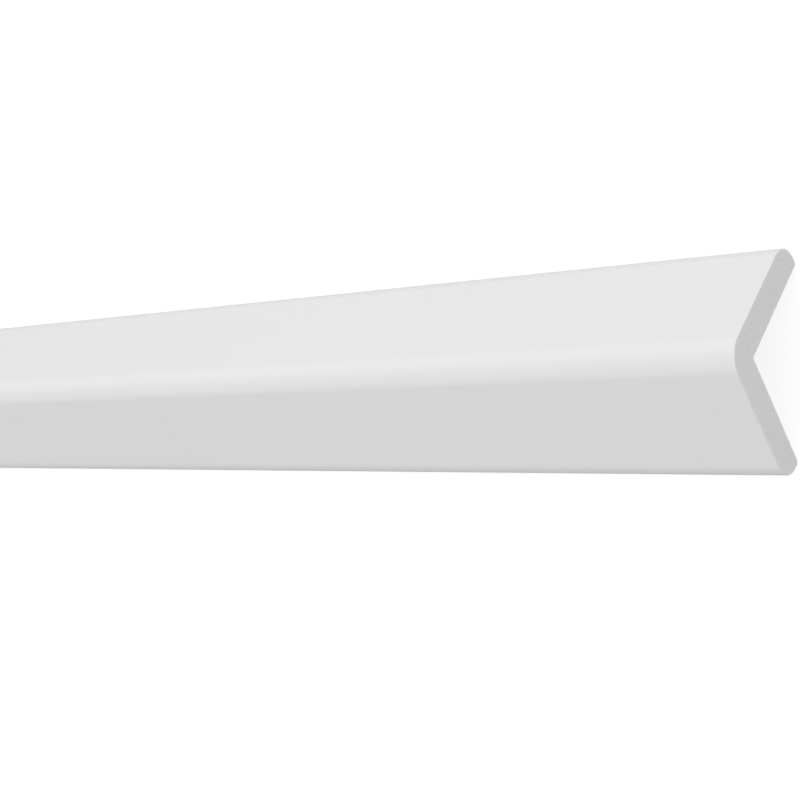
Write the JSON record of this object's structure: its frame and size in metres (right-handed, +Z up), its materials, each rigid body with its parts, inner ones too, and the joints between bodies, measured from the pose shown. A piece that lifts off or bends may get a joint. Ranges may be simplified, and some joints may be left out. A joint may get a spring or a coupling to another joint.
{
  "type": "corner guard moulding",
  "caption": "Straight corner guard moulding: an L-shaped length of white trim with equal legs, a rounded outer corner and rounded leg edges, for covering a wall's outside corner.",
  "frame": {"origin": "middle of the length, midway between the two legs, at the level surface that the ends of the legs stand on", "axes": "+X along the length, +Y across the legs, +Z up from the ends of the legs to the rounded outer corner"},
  "size_m": [1.2192, 0.0362, 0.0224],
  "materials": {
    "white_pvc": "plain white rigid foam, the same white all through, with a smooth matte extruded skin and fine sawn ends"
  },
  "bodies": {
    "root": {"corner_guard": "white_pvc"}
  },
  "joints": []
}
